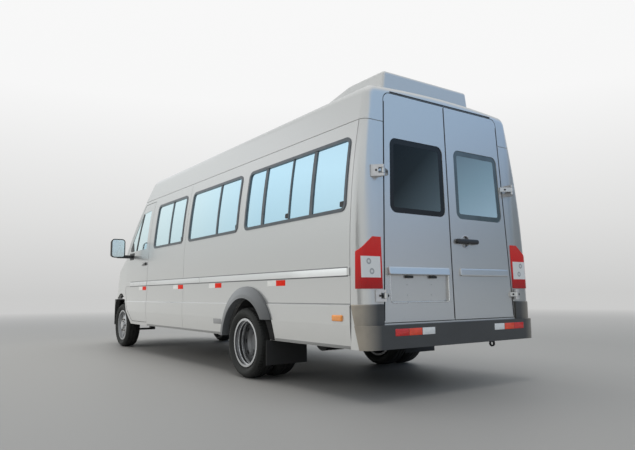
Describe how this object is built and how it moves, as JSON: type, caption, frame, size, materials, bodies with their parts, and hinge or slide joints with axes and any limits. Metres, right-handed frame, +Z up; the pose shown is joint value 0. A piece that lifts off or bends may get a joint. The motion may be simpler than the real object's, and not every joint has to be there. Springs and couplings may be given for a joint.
{
  "type": "high-roof passenger van",
  "caption": "Long-wheelbase high-roof passenger van with twin rear wheels, roof fairing, hinged rear doors, cab doors and bonnet.",
  "frame": {"origin": "ground point under the middle of the van's outline", "axes": "+X forward, +Y to the left, +Z up"},
  "size_m": [6.6198, 2.47, 2.508],
  "materials": {
    "body_paint": "silver metallic paint",
    "fairing_paint": "silver paint on moulded plastic",
    "hinge_metal": "bare steel",
    "window_rubber": "black rubber and bar",
    "tinted_glass": "blue-tinted glass",
    "lamp_red": "red lens",
    "lamp_clear": "clear lens",
    "grey_plastic": "dark grey moulded plastic",
    "black_plastic": "black plastic",
    "flap_rubber": "black rubber sheet",
    "underbody": "sealed sheet",
    "chassis_paint": "black chassis paint",
    "cast_metal": "rough casting",
    "steel": "dull steel",
    "tyre_rubber": "tyre rubber",
    "wheel_paint": "silver wheel paint",
    "cab_plastic": "grained plastic",
    "seat_cloth": "woven cloth"
  },
  "bodies": {
    "body": {"left_panel_rear": "body_paint", "left_panel_front": "body_paint", "right_panel_rear": "body_paint", "sliding_door": "body_paint", "rear_frame": "body_paint", "roof": "body_paint", "roof_fairing": "fairing_paint", "cab_frame": "body_paint", "front_fenders": "body_paint", "rear_hinges": "hinge_metal", "window_frames": "window_rubber", "side_glass": "tinted_glass", "windscreen": "tinted_glass", "tail_lamps": "lamp_red", "headlamps": "lamp_clear", "grille": "grey_plastic", "front_bumper": "grey_plastic", "rear_bumper": "grey_plastic", "rear_flares": "grey_plastic", "mud_flaps": "flap_rubber", "floor": "underbody", "chassis_frame": "chassis_paint", "strut_towers": "chassis_paint", "front_suspension": "chassis_paint", "rear_axle": "chassis_paint", "driveline": "cast_metal", "exhaust": "steel", "fuel_tank": "black_plastic", "spare_wheel": "tyre_rubber", "dashboard": "cab_plastic", "seats": "seat_cloth", "seat_frames": "chassis_paint"},
    "front_door_left": {"front_door_left": "body_paint", "front_glass_left": "tinted_glass", "mirror_left": "black_plastic"},
    "front_door_right": {"front_door_right": "body_paint", "front_glass_right": "tinted_glass", "mirror_right": "black_plastic"},
    "rear_door_left": {"rear_door_left": "body_paint", "rear_glass_left": "tinted_glass"},
    "rear_door_right": {"rear_door_right": "body_paint", "rear_glass_right": "tinted_glass"},
    "bonnet": {"bonnet": "body_paint"},
    "knuckle_left": {"knuckle_left": "cast_metal"},
    "knuckle_right": {"knuckle_right": "cast_metal"},
    "front_wheel_left": {"front_wheel_left": "wheel_paint", "front_tyre_left": "tyre_rubber"},
    "front_wheel_right": {"front_wheel_right": "wheel_paint", "front_tyre_right": "tyre_rubber"},
    "rear_wheels_left": {"rear_wheels_left": "wheel_paint", "rear_tyres_left": "tyre_rubber"},
    "rear_wheels_right": {"rear_wheels_right": "wheel_paint", "rear_tyres_right": "tyre_rubber"}
  },
  "joints": [
    {"name": "steer_left", "type": "hinge", "parent": "body", "child": "knuckle_left", "pos_m": [2.375, 0.64, 0.31], "axis": [0, 0, 1], "range_deg": [-35, 35]},
    {"name": "steer_right", "type": "hinge", "parent": "body", "child": "knuckle_right", "pos_m": [2.375, -0.64, 0.31], "axis": [0, 0, 1], "range_deg": [-35, 35]},
    {"name": "front_wheel_left_spin", "type": "hinge", "parent": "knuckle_left", "child": "front_wheel_left", "pos_m": [2.375, 0.785, 0.31], "axis": [0, 1, 0], "continuous": true},
    {"name": "front_wheel_right_spin", "type": "hinge", "parent": "knuckle_right", "child": "front_wheel_right", "pos_m": [2.375, -0.785, 0.31], "axis": [0, 1, 0], "continuous": true},
    {"name": "rear_wheels_left_spin", "type": "hinge", "parent": "body", "child": "rear_wheels_left", "pos_m": [-1.65, 0.782, 0.31], "axis": [0, 1, 0], "continuous": true},
    {"name": "rear_wheels_right_spin", "type": "hinge", "parent": "body", "child": "rear_wheels_right", "pos_m": [-1.65, -0.782, 0.31], "axis": [0, 1, 0], "continuous": true},
    {"name": "front_door_left_swing", "type": "hinge", "parent": "body", "child": "front_door_left", "pos_m": [1.945, 0.931, 0.56], "axis": [0, 0.0357, -0.9994], "range_deg": [0, 68]},
    {"name": "front_door_right_swing", "type": "hinge", "parent": "body", "child": "front_door_right", "pos_m": [1.945, -0.931, 0.56], "axis": [0, 0.0357, 0.9994], "range_deg": [0, 68]},
    {"name": "rear_door_left_swing", "type": "hinge", "parent": "body", "child": "rear_door_left", "pos_m": [-3.284, 0.738, 1.17], "axis": [0, 0, -1], "range_deg": [0, 180]},
    {"name": "rear_door_right_swing", "type": "hinge", "parent": "body", "child": "rear_door_right", "pos_m": [-3.284, -0.738, 1.17], "axis": [0, 0, 1], "range_deg": [0, 180]},
    {"name": "bonnet_lift", "type": "hinge", "parent": "body", "child": "bonnet", "pos_m": [2.255, 0, 1.24], "axis": [0, -1, 0], "range_deg": [0, 55]}
  ],
  "couplings": [
    {"joint": "steer_right", "follows": "steer_left", "ratio": 1}
  ]
}
